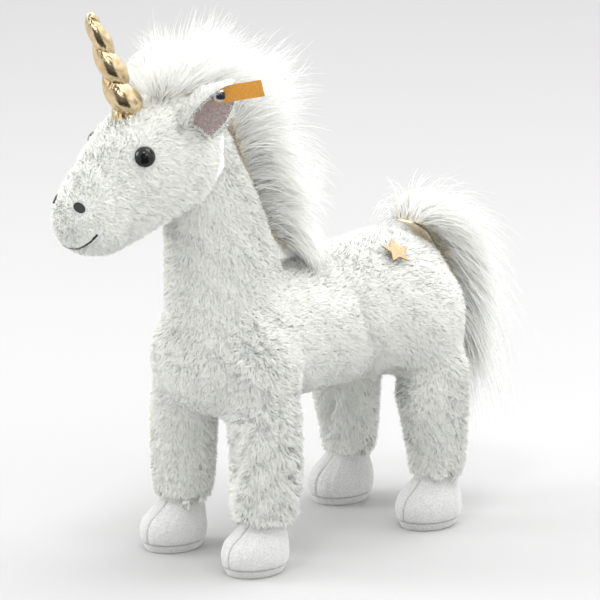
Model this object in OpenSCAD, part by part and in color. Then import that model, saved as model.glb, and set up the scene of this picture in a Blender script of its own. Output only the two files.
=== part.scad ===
// A standing plush unicorn: sewn plush covers over stuffing, a thread-wound golden horn, a
// long-pile mane and tail, suede hooves, and a ribbon label riveted into the left ear.
// It faces -Y, its left side is +X, +Z is up, and it stands on z = 0.

/* [Stance] */
// Distance from the front hooves' centres to the hind hooves' centres
stance_length = 141; // [136:1:146]
// Distance between the centres of the two front hooves
front_stance = 70; // [68:1:76]
// Distance between the centres of the two hind hooves
hind_stance = 75; // [70:1:78]
// Height of the pivot where a leg flexes at the body
leg_pivot_z = 93; // [91:0.5:95]

/* [Covers] */
// Thickness of the plush fabric of trunk and head, backing and pile
cover_t = 3; // [2:0.5:4]
// Thickness of the plush fabric of a leg
leg_cover_t = 2.6; // [2:0.2:3]
// Thickness of the suede fabric of a hoof
suede_t = 1.4; // [1:0.1:2]
// Gap between the stuffing and its cover
stuffing_gap = 0.4; // [0.3:0.1:0.8]

/* [Head] */
// Angle by which the head is turned to its right at rest
head_turn_rest = 10; // [8:1:12]
// Diameter of a safety eye
eye_d = 12; // [10:0.5:14]
// Length of the horn
horn_length = 67; // [60:1:74]
// Diameter of the horn where it is sewn on
horn_base_d = 21; // [18:0.5:24]
// Turns of thread that wind round the horn
horn_turns = 3.25; // [2:0.25:4]

/* [Ears and label] */
// Height of an ear
ear_h = 37; // [32:1:42]
// Widest part of an ear, rolled edge included
ear_w = 26; // [22:1:30]
// Diameter of the rivet's cap
rivet_d = 8; // [6:0.5:9]
// Width of the ribbon label
label_w = 10; // [8:0.5:12]
// Length of the ribbon label behind the rivet
label_length = 26; // [22:1:32]

/* [Star] */
// Distance from the star's centre to a point
star_r = 10; // [8:0.5:12]

/* [Hidden] */

// Centre lines. A key is [x, y, z, half width, half depth] of one cross-section.
trunk_keys = [
    [0, -90, 133, 33, 37], [0, -66, 130, 40, 43], [0, -31, 129, 42, 41], [0, 11, 130, 40, 40],
    [0, 51, 132, 42, 43], [0, 87, 133, 43, 44], [0, 119, 132, 36, 38]];
neck_keys = [
    [0, -51, 140, 35, 41], [0, -55, 170, 30, 38], [0, -61, 200, 27.5, 33], [0, -68, 225, 25, 27],
    [0, -74, 243, 22.5, 23]];
shoulder_keys = [
    [24, -53, 150, 17, 22], [27, -53, 130, 21, 27], [31, -54, 112, 21, 25], [33, -55, 97, 20, 22]];
haunch_keys = [
    [20, 75, 158, 19, 30], [25, 77, 138, 23, 35], [30, 79, 116, 23, 31], [33, 82, 97, 21, 24]];
head_pivot = [0, -75, 246];
neck_ball_r = 23;
plug_r = 19;
// The head's keys are measured forwards and upwards from its pivot.
head_keys = [
    [0, 13, -2, 27, 33], [0, -8, 0, 33, 40], [0, -27, -1, 34, 40], [0, -44, -7, 31, 35.5],
    [0, -59, -16, 26.5, 28.5], [0, -73, -26, 24, 23.5], [0, -93, -31, 19.5, 18]];
head_caps = [0.2, 0.16];

BLACK = [0.04, 0.04, 0.04];
WHITE = [0.95, 0.95, 0.93];
SUEDE = [0.87, 0.87, 0.86];
GOLD = [0.80, 0.66, 0.36];
BEIGE = [0.86, 0.76, 0.58];
TAUPE = [0.45, 0.38, 0.36];
AMBER = [0.90, 0.62, 0.10];
FILLING = [0.97, 0.97, 0.95];

// ---------- Lofted soft shapes ----------

// A Catmull-Rom curve through the keys, s from 0 to 1
function spline(a, b, c, d, t) =
    0.5 * (2 * b + (c - a) * t + (2 * a - 5 * b + 4 * c - d) * t * t
        + (3 * b - a - 3 * c + d) * t * t * t);
function on_keys(keys, s) =
    let (last = len(keys) - 1, x = min(max(s, 0), 0.99999) * last, i = floor(x))
    spline(keys[max(i - 1, 0)], keys[i], keys[i + 1], keys[min(i + 2, last)], x - i);
function centre_of(key) = [key[0], key[1], key[2]];
function unit(v) = v / norm(v);

// A point of the ring at s: the ring is square to the centre line, and its width lies along X
function ring_point(keys, s, share, inset, angle) =
    let (key = on_keys(keys, s),
         heading = unit(centre_of(on_keys(keys, s + 0.01)) - centre_of(on_keys(keys, s - 0.01))),
         across = unit([1, 0, 0] - heading[0] * heading),
         up = cross(heading, across))
    centre_of(key) + share * ((key[3] - inset) * cos(angle) * across
        + (key[4] - inset) * sin(angle) * up);
function ring(keys, s, share, inset, sides) =
    [for (i = [0 : sides - 1]) ring_point(keys, s, share, inset, 360 * i / sides)];

// The stop at t, as [s, share of full size]: a quarter of the way at each end is the rounded cap
function stop_at(t, caps) =
    t < 0.25 ? [caps[0] * (1 - cos(360 * t)), sin(360 * t)] :
    t > 0.75 ? [1 - caps[1] * (1 - cos(360 * (1 - t))), sin(360 * (1 - t))] :
    [caps[0] + (1 - caps[0] - caps[1]) * (2 * t - 0.5), 1];

// A closed loft through the keys with a rounded end at each side; inset makes the same shape
// smaller all over
module soft_loft(keys, caps = [0.2, 0.2], inset = 0, sides = 16, rings = 5) {
    trim = inset / norm(centre_of(keys[len(keys) - 1]) - centre_of(keys[0]));
    times = concat([0.035, 0.09, 0.16], [for (i = [0 : rings]) 0.25 + 0.5 * i / rings],
        [0.84, 0.91, 0.965]);
    tube([for (t = times) let (stop = stop_at(t, caps))
        ring(keys, trim + (1 - 2 * trim) * stop[0], stop[1], inset, sides)]);
}

// A closed solid through a list of rings that have the same number of points
module tube(layers) {
    sides = len(layers[0]);
    last = len(layers) - 1;
    polyhedron(
        points = [for (layer = layers, p = layer) p],
        faces = concat(
            [[for (i = [0 : sides - 1]) i]],
            [for (k = [0 : last - 1], i = [0 : sides - 1])
                [k * sides + i, (k + 1) * sides + i, (k + 1) * sides + (i + 1) % sides]],
            [for (k = [0 : last - 1], i = [0 : sides - 1])
                [k * sides + i, (k + 1) * sides + (i + 1) % sides, k * sides + (i + 1) % sides]],
            [[for (i = [sides - 1 : -1 : 0]) last * sides + i]]));
}

// A soft piece is one mesh from end to end
module soft() {
    resize([0, 0, 0]) union() children();
}

module both_sides() {
    children();
    mirror([1, 0, 0]) children();
}

// ---------- Trunk and neck ----------

module trunk_volume(inset) {
    soft_loft(trunk_keys, [0.17, 0.2], inset);
    soft_loft(neck_keys, [0.1, 0.1], inset, 16, 3);
    translate(head_pivot) sphere(neck_ball_r - inset, $fn = 20);
    both_sides() {
        soft_loft(shoulder_keys, [0.4, 0.3], inset, 12, 2);
        soft_loft(haunch_keys, [0.4, 0.3], inset, 12, 2);
    }
}

// The room in the trunk for the rounded tops of the four legs
module leg_sockets(extra) {
    for (leg = LEGS)
        translate(leg_pivot(leg)) sphere(leg_ball_r + extra, $fn = 24);
}

// The cover is left open at the top of the neck, inside the head, where it was filled
module torso_cover() {
    color(WHITE) soft() difference() {
        trunk_volume(0);
        translate(head_pivot) cylinder(r = 9, h = 40, $fn = 24);
        difference() {
            trunk_volume(cover_t);
            leg_sockets(1 + cover_t);
        }
        leg_sockets(1);
    }
}

module torso_stuffing() {
    color(FILLING) soft() difference() {
        trunk_volume(cover_t + stuffing_gap);
        leg_sockets(1 + cover_t + stuffing_gap);
        translate(head_pivot) sphere(plug_r + 1, $fn = 32);
    }
}

// The firm roll of stuffing at the top of the neck, on which the head turns and nods
module neck_plug() {
    color(FILLING) translate(head_pivot) sphere(plug_r, $fn = 48);
}

// ---------- Legs and hooves ----------

// Each leg is [side, -1 in front and 1 behind]
LEGS = [[1, -1], [-1, -1], [1, 1], [-1, 1]];
leg_ball_r = 21.5;
front_hoof_y = -63;
cuff_z = 26;
hoof_top_z = 33;
sole_t = 1.6;
function hoof_x(leg) = leg[0] * (leg[1] < 0 ? front_stance : hind_stance) / 2;
function hoof_y(leg) = leg[1] < 0 ? front_hoof_y : front_hoof_y + stance_length;
function leg_top_y(leg) = hoof_y(leg) + (leg[1] < 0 ? 9 : 7);
function leg_pivot(leg) = [hoof_x(leg) - 2 * leg[0], leg_top_y(leg), leg_pivot_z];
function leg_keys(leg) =
    let (x = hoof_x(leg), y = leg_top_y(leg),
         radii = leg[1] < 0 ? [20.5, 20.5, 19.5, 17.5] : [20, 19.5, 18, 17])
    [[leg_pivot(leg)[0], y, leg_pivot_z, radii[0], radii[0]],
     [x, y, 70, radii[1], radii[1]],
     [x, y, 46, radii[2], radii[2]],
     [x, y - 1, cuff_z, radii[3], radii[3]]];

module leg_volume(leg, inset, bottom) {
    intersection() {
        union() {
            translate(leg_pivot(leg)) sphere(leg_ball_r - inset, $fn = 16);
            tube([for (s = [0.02, 0.25, 0.5, 0.75, 0.99]) ring(leg_keys(leg), s, 1, inset, 14)]);
        }
        translate([leg[0] * 36 - 40, leg_top_y(leg) - 40, bottom]) cube([80, 80, 120]);
    }
}

module leg_cover(leg) {
    color(WHITE) soft() difference() {
        leg_volume(leg, 0, cuff_z + 1);
        leg_volume(leg, leg_cover_t, -1);
    }
}

// The stuffing of a leg rests on the top of the hoof
module leg_stuffing(leg) {
    color(FILLING) soft()
        leg_volume(leg, leg_cover_t + stuffing_gap, hoof_top_z + stuffing_gap);
}

function hoof_keys(leg) =
    let (x = hoof_x(leg), y = hoof_y(leg), back = leg_top_y(leg) - hoof_y(leg) - 1)
    [[x, y, sole_t, 14.5, 18.5],
     [x, y, sole_t + 5, 17.3, 21.3],
     [x, y, 13, 17.8, 21.8],
     [x, y + 1.5, 20, 16.6, 19.5],
     [x, y + back - 1, 26.5, 13, 13.4],
     [x, y + back, hoof_top_z, 12, 12]];

// A level ring, for a shape that stands on a flat sole
function flat_ring(keys, s, inset, sides) =
    let (key = on_keys(keys, s))
    [for (i = [0 : sides - 1])
        [key[0] + (key[3] - inset) * cos(360 * i / sides),
         key[1] + (key[4] - inset) * sin(360 * i / sides), key[2]]];

module hoof_volume(leg, inset) {
    bottom = inset / (hoof_top_z - sole_t);
    tube([for (i = [0 : 7])
        flat_ring(hoof_keys(leg), bottom + (1 - 2 * bottom) * i / 7, inset, 16)]);
}

// The cover is open at the bottom, where the sole is sewn in
module hoof_cover(leg) {
    color(SUEDE) soft() difference() {
        hoof_volume(leg, 0);
        hoof_volume(leg, suede_t);
        translate([hoof_x(leg), hoof_y(leg), 0]) scale([0.7, 1, 1])
            cylinder(r = 16, h = 6, $fn = 20);
    }
}

module hoof_stuffing(leg) {
    color(FILLING) hoof_volume(leg, suede_t + stuffing_gap);
}

module hoof_sole(leg) {
    color(SUEDE) translate([hoof_x(leg), hoof_y(leg), 0])
        linear_extrude(sole_t)
            polygon([for (i = [0 : 35]) [14.4 * cos(10 * i), 18.4 * sin(10 * i)]]);
}

// ---------- Head ----------

module in_head(side = 1) {
    translate(head_pivot) rotate([0, 0, -head_turn_rest])
        mirror([side < 0 ? 1 : 0, 0, 0]) children();
}

// The place at t and angle on the head's skin, with x round the head and z out of it
function head_point(t, angle) =
    let (stop = stop_at(t, head_caps)) ring_point(head_keys, stop[0], stop[1], 0, angle);
module on_head(t, angle) {
    p = head_point(t, angle);
    round_it = unit(head_point(t, angle + 2) - head_point(t, angle - 2));
    along = head_point(t + 0.01, angle) - head_point(t - 0.01, angle);
    out = unit(cross(round_it, along));
    side = cross(out, round_it);
    multmatrix([
        [round_it[0], side[0], out[0], p[0]],
        [round_it[1], side[1], out[1], p[1]],
        [round_it[2], side[2], out[2], p[2]],
        [0, 0, 0, 1]]) children();
}

module head_volume(inset) {
    soft_loft(head_keys, head_caps, inset, 20, 7);
}

// The room that the neck needs inside and under the head while the head nods and turns
module neck_room(extra) {
    sphere(neck_ball_r + 1 + extra, $fn = 32);
    for (nod = [-14, 0, 14])
        rotate([nod, 0, 0]) translate([0, 0, -64])
            cylinder(r1 = 38 + extra, r2 = neck_ball_r + 1 + extra, h = 64, $fn = 32);
}

eye_t = 0.485;
eye_angle = 33;
module head_cover() {
    color(WHITE) in_head() soft() difference() {
        head_volume(0);
        difference() {
            head_volume(cover_t);
            neck_room(cover_t);
        }
        neck_room(0);
        both_sides() on_head(eye_t, eye_angle) cylinder(d = 4.4, h = 14, center = true, $fn = 16);
    }
}

module head_stuffing() {
    color(FILLING) in_head() soft() difference() {
        head_volume(cover_t + stuffing_gap);
        neck_room(cover_t + stuffing_gap);
        both_sides() on_head(eye_t, eye_angle) translate([0, 0, -9])
            cylinder(d = 15, h = 18, $fn = 20);
    }
}

// ---------- Eyes, nostrils and mouth ----------

module eye(side) {
    color(BLACK) in_head(side) on_head(eye_t, eye_angle) {
        translate([0, 0, 0.6]) rotate_extrude($fn = 64) intersection() {
            translate([0, -2.2]) circle(eye_d / 2 + 0.4, $fn = 96);
            square([eye_d / 2, eye_d]);
        }
        translate([0, 0, -6.5]) cylinder(d = 3.6, h = 7.6, $fn = 48);
    }
}

module eye_washer(side) {
    color(WHITE) in_head(side) on_head(eye_t, eye_angle) translate([0, 0, -5.6]) difference() {
        cylinder(d = 13, h = 1.2, $fn = 64);
        translate([0, 0, -1]) cylinder(d = 3.64, h = 4, $fn = 48);
    }
}

// An embroidered patch of satin stitches
module nostril(side) {
    color(BLACK) in_head(side) on_head(0.84, 46) translate([0, 0, 0.4]) rotate([0, 0, 20])
        linear_extrude(1) polygon([for (i = [0 : 23]) [3.9 * cos(15 * i), 2.7 * sin(15 * i)]]);
}

// Each side of the mouth is a run of back stitches round the muzzle
mouth_stitches = 7;
module mouth_stitching() {
    color(BLACK) in_head() both_sides()
        for (i = [0 : mouth_stitches - 1])
            let (k = i / (mouth_stitches - 1))
                on_head(0.885 - 0.05 * k, -52 + 36 * k) translate([0, 0, 0.75])
                    rotate([0, 90, 0])
                        cylinder(d = 0.9, h = 1.9, center = true, $fn = 16);
}

// ---------- Horn ----------

module horn_place() {
    in_head() translate([0, -48, 33]) rotate([23, 0, 0]) children();
}

// The winding pulls the horn in along a helix, and the stuffing swells between its turns
function horn_r(s) = horn_base_d / 2 * (1 - 0.60 * pow(s, 1.15))
    * (s > 0.86 ? sqrt(max(0, 1 - pow((s - 0.86) / 0.145, 2))) : 1);
function horn_pinch(s, angle) =
    let (phase = s * horn_turns + angle / 360, near = abs(phase - round(phase)) * 2)
    0.80 + 0.22 * pow(sin(90 * min(1, near)), 0.7);
function horn_ring(s, inset, sides) =
    [for (i = [0 : sides - 1])
        let (angle = 360 * i / sides, r = max(0.4, horn_r(s) * horn_pinch(s, angle) - inset))
        [r * cos(angle), r * sin(angle), s * horn_length]];

module horn_volume(inset) {
    foot = inset / horn_length;
    rows = 22;
    tube([for (k = [0 : rows])
        horn_ring(foot + (0.995 - 2 * foot) * k / rows, inset, 14)]);
}

// The cover is open at its foot, where it is sewn to the head
module horn_cover() {
    color(GOLD) horn_place() soft() difference() {
        horn_volume(0);
        horn_volume(0.9);
        translate([0, 0, -1]) cylinder(r = 6.5, h = 3, $fn = 20);
    }
}

module horn_stuffing() {
    color(FILLING) horn_place() horn_volume(1.2);
}

thread_r = 0.35;
module horn_thread() {
    steps = 44;
    from = 0.04;
    to = 0.84;
    color(GOLD) horn_place() tube([for (k = [0 : steps])
        let (s = from + (to - from) * k / steps, angle = -360 * s * horn_turns,
             r = horn_r(s) * 0.80 + thread_r + 1)
        [for (j = [0 : 5])
            [(r + thread_r * cos(60 * j)) * cos(angle), (r + thread_r * cos(60 * j)) * sin(angle),
             s * horn_length + thread_r * sin(60 * j)]]]);
}

// ---------- Ears, rivet and label ----------

// An ear stands on its pivot: x is across it to its rear edge, z is up it and it opens to -y
ear_pivot = [29.5, -17, 23];
module ear_place(side) {
    in_head(side) translate(ear_pivot) rotate([0, 0, 52]) rotate([10, 35, 0]) children();
}

// The front edge of an ear is rolled round to the open side
roll_r = 7;
roll_x = -7;
flat_w = ear_w - roll_r - 10;
function ear_curve(off) =
    concat([[flat_w, off]],
        [for (a = [90 : 13 : 220]) [roll_x + (roll_r + off) * cos(a), (roll_r + off) * sin(a) - roll_r]]);
module ear_sheet(inner, outer, margin) {
    near = ear_curve(inner);
    last = len(near) - 1;
    leaf = [for (i = [0 : 24])
        let (t = i / 24)
        [(ear_w / 2 + 1 - margin) * pow(sin(180 * pow(0.06 + 0.94 * t, 0.75)), 0.7) + 0.02,
         2 + margin + (ear_h - 2 - 2 * margin) * t]];
    intersection() {
        linear_extrude(ear_h + 5)
            polygon(concat(ear_curve(outer), [for (i = [last : -1 : 0]) near[i]]));
        translate([-3.5, 30, 0]) rotate([90, 0, 0]) linear_extrude(60)
            polygon(concat(leaf, [for (i = [24 : -1 : 0]) [-leaf[i][0], leaf[i][1]]]));
    }
}

// The rivet's axis, with z out of the open side
module rivet_axis() {
    translate([-3, 0, ear_h * 0.66]) rotate([90, 0, 0]) children();
}

module ear_back(side) {
    color(WHITE) ear_place(side) soft() difference() {
        ear_sheet(0, 2.8, 0);
        if (side > 0) rivet_axis() cylinder(d = 3.3, h = 20, center = true, $fn = 24);
    }
}

module ear_lining(side) {
    color(TAUPE) ear_place(side) soft() difference() {
        ear_sheet(-0.9, -0.1, 1.4);
        if (side > 0) rivet_axis() cylinder(d = 3.3, h = 20, center = true, $fn = 24);
    }
}

// The label swivels on the rivet's stem, between the lining and the cap
label_t = 0.5;
module ear_rivet() {
    color("silver") ear_place(1) rivet_axis() {
        translate([0, 0, 2.5]) intersection() {
            translate([0, 0, -7.2]) sphere(8.5, $fn = 64);
            cylinder(d = rivet_d, h = 4, $fn = 64);
        }
        translate([0, 0, -4.2]) cylinder(d = 3, h = 6.8, $fn = 48);
    }
}

module rivet_washer() {
    color("silver") ear_place(1) rivet_axis() translate([0, 0, -4.2]) difference() {
        cylinder(d = 7, h = 0.8, $fn = 64);
        translate([0, 0, -1]) cylinder(d = 3.04, h = 4, $fn = 48);
    }
}

module ribbon_label() {
    color(AMBER) ear_place(1) rivet_axis() translate([0, 0, 1.4]) rotate([0, 0, 47])
        difference() {
            translate([-3.8, -label_w / 2, 0]) cube([label_length + 3.8, label_w, label_t]);
            translate([0, 0, -1]) cylinder(d = 3.1, h = 4, $fn = 48);
        }
}

// ---------- Mane, forelock and tail ----------

// The crest of the neck, which the mane is sewn along
crest = [[-54, 262], [-47, 240], [-37, 215], [-23, 190], [-1, 174]];
function crest_out(s) =
    let (d = unit(on_keys(crest, min(1, s + 0.02)) - on_keys(crest, max(0, s - 0.02))))
    [-d[1], d[0]];

// A bent slab that follows the crest: half width across, from and to along its outward side
module crest_slab(half, from, to) {
    layers = 12;
    tube([for (k = [0 : layers])
        let (s = k / layers, p = on_keys(crest, s), o = crest_out(s),
             end = k == 0 || k == layers ? 0.5 : 1, middle = (from + to) / 2, reach = (to - from) / 2)
        [for (i = [0 : 11])
            let (a = 30 * i, d = middle - reach * sin(a) * end)
            [half * cos(a) * end, p[0] + o[0] * d, p[1] + o[1] * d]]]);
}

module mane() {
    color(WHITE) crest_slab(15, 12.2, 46);
}

module mane_backing() {
    color(BEIGE) crest_slab(1.1, 3.4, 12);
}

module forelock() {
    color(WHITE) in_head() soft_loft(
        [[0, -34, 47, 11, 6], [0, -22, 57, 15, 12], [0, -8, 60, 16, 15], [0, 4, 54, 13, 12]],
        [0.3, 0.3], 0, 14, 2);
}

module tail_fur() {
    color(WHITE) soft_loft(
        [[0, 114, 184, 12, 9], [0, 131, 176, 19, 17], [0, 144, 151, 21, 19], [0, 149, 118, 20, 17],
         [0, 150, 88, 16, 13], [0, 150, 62, 8, 8]],
        [0.2, 0.25], 0, 16, 5);
}

module tail_backing() {
    color(BEIGE) tube([for (p = [[95, 177.5], [106, 170.5], [115, 158], [121, 143], [123, 120]])
        [for (i = [0 : 7])
            let (a = 45 * i) [7 * cos(a), p[0] - 0.9 * sin(a), p[1] - 0.4 * sin(a)]]]);
}

// ---------- Star ----------

module star_patch() {
    color(GOLD) translate([26.5, 61, 169.5]) rotate([0, 38, 0]) rotate([0, 0, 20])
        linear_extrude(0.9)
            polygon([for (i = [0 : 9])
                let (r = i % 2 == 0 ? star_r : star_r * 0.48) [r * cos(36 * i), r * sin(36 * i)]]);
}

torso_cover();
torso_stuffing();
neck_plug();
head_cover();
head_stuffing();
horn_cover();
horn_stuffing();
horn_thread();
forelock();
mane();
mane_backing();
tail_fur();
tail_backing();
star_patch();
mouth_stitching();
ear_rivet();
rivet_washer();
ribbon_label();
eye(1);  // left_eye
eye(-1);  // right_eye
eye_washer(1);  // left_eye_washer
eye_washer(-1);  // right_eye_washer
nostril(1);  // left_nostril
nostril(-1);  // right_nostril
ear_back(1);  // left_ear_back
ear_back(-1);  // right_ear_back
ear_lining(1);  // left_ear_lining
ear_lining(-1);  // right_ear_lining
leg_cover(LEGS[0]);  // front_left_leg_cover
leg_stuffing(LEGS[0]);  // front_left_leg_stuffing
hoof_cover(LEGS[0]);  // front_left_hoof_cover
hoof_stuffing(LEGS[0]);  // front_left_hoof_stuffing
hoof_sole(LEGS[0]);  // front_left_hoof_sole
leg_cover(LEGS[1]);  // front_right_leg_cover
leg_stuffing(LEGS[1]);  // front_right_leg_stuffing
hoof_cover(LEGS[1]);  // front_right_hoof_cover
hoof_stuffing(LEGS[1]);  // front_right_hoof_stuffing
hoof_sole(LEGS[1]);  // front_right_hoof_sole
leg_cover(LEGS[2]);  // hind_left_leg_cover
leg_stuffing(LEGS[2]);  // hind_left_leg_stuffing
hoof_cover(LEGS[2]);  // hind_left_hoof_cover
hoof_stuffing(LEGS[2]);  // hind_left_hoof_stuffing
hoof_sole(LEGS[2]);  // hind_left_hoof_sole
leg_cover(LEGS[3]);  // hind_right_leg_cover
leg_stuffing(LEGS[3]);  // hind_right_leg_stuffing
hoof_cover(LEGS[3]);  // hind_right_hoof_cover
hoof_stuffing(LEGS[3]);  // hind_right_hoof_stuffing
hoof_sole(LEGS[3]);  // hind_right_hoof_sole
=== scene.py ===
import math

import bmesh
import bpy
import numpy as np
from mathutils import Matrix, Vector
from mathutils.bvhtree import BVHTree


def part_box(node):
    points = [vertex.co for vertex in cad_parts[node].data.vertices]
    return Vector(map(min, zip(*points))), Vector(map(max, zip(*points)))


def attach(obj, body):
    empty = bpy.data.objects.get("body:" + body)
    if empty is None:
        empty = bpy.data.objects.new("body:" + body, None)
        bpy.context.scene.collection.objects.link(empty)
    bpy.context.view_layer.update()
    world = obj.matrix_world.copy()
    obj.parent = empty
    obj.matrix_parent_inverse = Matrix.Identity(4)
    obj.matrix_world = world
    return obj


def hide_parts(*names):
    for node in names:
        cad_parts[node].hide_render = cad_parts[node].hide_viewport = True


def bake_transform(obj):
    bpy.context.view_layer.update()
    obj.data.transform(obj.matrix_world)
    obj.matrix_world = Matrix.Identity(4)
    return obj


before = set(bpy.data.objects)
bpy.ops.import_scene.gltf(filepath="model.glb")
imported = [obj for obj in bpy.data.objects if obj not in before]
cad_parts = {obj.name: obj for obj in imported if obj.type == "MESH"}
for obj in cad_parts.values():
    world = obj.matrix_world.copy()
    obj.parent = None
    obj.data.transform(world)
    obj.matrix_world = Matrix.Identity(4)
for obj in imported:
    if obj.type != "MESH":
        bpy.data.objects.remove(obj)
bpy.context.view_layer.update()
MM = 0.001
rng = np.random.RandomState(7)
scene = bpy.context.scene

# The frame's places, in millimetres, and the head's own axes: it is turned 10 degrees at rest.
HEAD = np.array([0.0, -75.0, 246.0])
TURN = math.radians(-10)
HEAD_TURN = np.array(Matrix.Rotation(TURN, 3, "Z"))
LEGS = {
    "front_left": (35.0, -63.0, -54.0), "front_right": (-35.0, -63.0, -54.0),
    "hind_left": (37.5, 78.0, 85.0), "hind_right": (-37.5, 78.0, 85.0),
}


# ---------------------------------------------------------------- white pile
# The short plush of trunk, legs and head: white polyester pile, with painted shade that makes it darker and
# cooler towards the roots of its tufts. The tone group gives a soft mottle, and "along" runs from a tuft's
# root to its tip.
def group_of(name, sockets_in, sockets_out):
    g = bpy.data.node_groups.new(name, "ShaderNodeTree")
    for label, kind, value in sockets_in:
        s = g.interface.new_socket(label, in_out="INPUT", socket_type=kind)
        if value is not None:
            s.default_value = value
    for label, kind in sockets_out:
        g.interface.new_socket(label, in_out="OUTPUT", socket_type=kind)
    return g, g.nodes.new("NodeGroupInput"), g.nodes.new("NodeGroupOutput")


mottle, gi, go = group_of(
    "Mottle",
    [("Vector", "NodeSocketVector", None), ("Scale", "NodeSocketFloat", 120.0),
     ("Low", "NodeSocketFloat", 0.8), ("High", "NodeSocketFloat", 1.0)],
    [("Value", "NodeSocketFloat")])
n_noise = mottle.nodes.new("ShaderNodeTexNoise")
n_noise.inputs["Detail"].default_value = 3.0
n_map = mottle.nodes.new("ShaderNodeMapRange")
n_map.inputs["From Min"].default_value = 0.3
n_map.inputs["From Max"].default_value = 0.7
mottle.links.new(gi.outputs["Vector"], n_noise.inputs["Vector"])
mottle.links.new(gi.outputs["Scale"], n_noise.inputs["Scale"])
mottle.links.new(n_noise.outputs["Fac"], n_map.inputs["Value"])
mottle.links.new(gi.outputs["Low"], n_map.inputs["To Min"])
mottle.links.new(gi.outputs["High"], n_map.inputs["To Max"])
mottle.links.new(n_map.outputs["Result"], go.inputs["Value"])


def new_material(name, color, rough, sheen=0.0, metal=0.0, translucent=0.0):
    m = bpy.data.materials.new(name)
    m.use_nodes = True
    t = m.node_tree
    p = t.nodes["Principled BSDF"]
    p.inputs["Base Color"].default_value = (*color, 1)
    p.inputs["Roughness"].default_value = rough
    p.inputs["Metallic"].default_value = metal
    p.inputs["Sheen Weight"].default_value = sheen
    p.inputs["Sheen Roughness"].default_value = 0.5
    if translucent:
        mix = t.nodes.new("ShaderNodeMixShader")
        through = t.nodes.new("ShaderNodeBsdfTranslucent")
        through.name = "Through"
        through.inputs["Color"].default_value = (*color, 1)
        mix.inputs["Fac"].default_value = translucent
        t.links.new(p.outputs["BSDF"], mix.inputs[1])
        t.links.new(through.outputs["BSDF"], mix.inputs[2])
        t.links.new(mix.outputs["Shader"], t.nodes["Material Output"].inputs["Surface"])
    return m


def tone(material, dark, light, scale, along=None, low=0.0, high=1.0):
    """Base colour from dark to light by the mottle, and by the share of the way along a hair."""
    t = material.node_tree
    co = t.nodes.new("ShaderNodeTexCoord")
    g = t.nodes.new("ShaderNodeGroup")
    g.node_tree = mottle
    g.inputs["Scale"].default_value = scale
    g.inputs["Low"].default_value = low
    g.inputs["High"].default_value = high
    t.links.new(co.outputs["Object"], g.inputs["Vector"])
    mix = t.nodes.new("ShaderNodeMix")
    mix.data_type = "RGBA"
    mix.inputs[6].default_value = (*dark, 1)
    mix.inputs[7].default_value = (*light, 1)
    factor = g.outputs["Value"]
    if along:
        a = t.nodes.new("ShaderNodeAttribute")
        a.attribute_name = "along"
        ramp = t.nodes.new("ShaderNodeMapRange")
        ramp.inputs["From Max"].default_value = along
        ramp.interpolation_type = "SMOOTHSTEP"
        both = t.nodes.new("ShaderNodeMath")
        both.operation = "MULTIPLY"
        t.links.new(a.outputs["Fac"], ramp.inputs["Value"])
        t.links.new(ramp.outputs["Result"], both.inputs[0])
        t.links.new(factor, both.inputs[1])
        factor = both.outputs[0]
    t.links.new(factor, mix.inputs[0])
    t.links.new(mix.outputs[2], t.nodes["Principled BSDF"].inputs["Base Color"])
    if "Through" in t.nodes:
        t.links.new(mix.outputs[2], t.nodes["Through"].inputs["Color"])
    return mix.outputs[2]


plush = new_material("white_plush", (0.9, 0.9, 0.9), 0.95, 0.25, translucent=0.25)
# Painted shade: towards each tuft's root the colour turns darker and cooler, standing in for the shade deep
# in the pile. The mottle on top is the fibre's own uneven tone.
tone(plush, (0.80, 0.81, 0.765), (0.975, 0.985, 0.94), 90, along=0.6, low=0.85, high=1.0)
skin_white = new_material("plush_backing", (0.80, 0.81, 0.79), 1.0, 0.2)
tone(skin_white, (0.66, 0.68, 0.67), (0.80, 0.82, 0.81), 500)
silk = new_material("long_pile", (0.92, 0.93, 0.92), 0.6, 0.15, translucent=0.45)
tone(silk, (0.96, 0.91, 0.79), (0.98, 0.985, 0.965), 60, along=0.12, low=0.92, high=1.0)


# ---------------------------------------------------------------- trunk, neck and legs
# One sewn skin of plush over stuffing, from the crest down to the four cuffs. It is blown up out of
# overlapping rounds, puffed by a short cloth run, and then cut at the legs into pieces of their own.
def on_keys(keys, s):
    x = min(max(s, 0.0), 0.99999) * (len(keys) - 1)
    i, t = int(x), x - int(x)
    k = np.array(keys, float)
    a, b, c, d = k[max(i - 1, 0)], k[i], k[i + 1], k[min(i + 2, len(k) - 1)]
    return 0.5 * (2 * b + (c - a) * t + (2 * a - 5 * b + 4 * c - d) * t * t
                  + (3 * b - a - 3 * c + d) * t ** 3)


def put(name, mesh_or_bm):
    mesh = mesh_or_bm
    if isinstance(mesh_or_bm, bmesh.types.BMesh):
        mesh = bpy.data.meshes.new(name)
        mesh_or_bm.to_mesh(mesh)
        mesh_or_bm.free()
    o = bpy.data.objects.new(name, mesh)
    scene.collection.objects.link(o)
    return o


def evaluated(o):
    dg = bpy.context.evaluated_depsgraph_get()
    mesh = bpy.data.meshes.new_from_object(o.evaluated_get(dg))
    o.modifiers.clear()
    old, o.data = o.data, mesh
    bpy.data.meshes.remove(old)
    return o


def vertices(o):
    co = np.zeros(len(o.data.vertices) * 3)
    o.data.vertices.foreach_get("co", co)
    return co.reshape(-1, 3)


def set_vertices(o, co):
    o.data.vertices.foreach_set("co", np.ascontiguousarray(co, float).ravel())
    o.data.update()


def normals(o):
    n = np.zeros(len(o.data.vertices) * 3)
    o.data.vertices.foreach_get("normal", n)
    return n.reshape(-1, 3)


def wrap(o, voxel, rounds=12):
    """One closed skin round everything in o."""
    m = o.modifiers.new("wrap", "REMESH")
    m.mode = "VOXEL"
    m.voxel_size = voxel
    m = o.modifiers.new("smooth", "SMOOTH")
    m.factor = 0.5
    m.iterations = rounds
    return evaluated(o)


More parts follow.
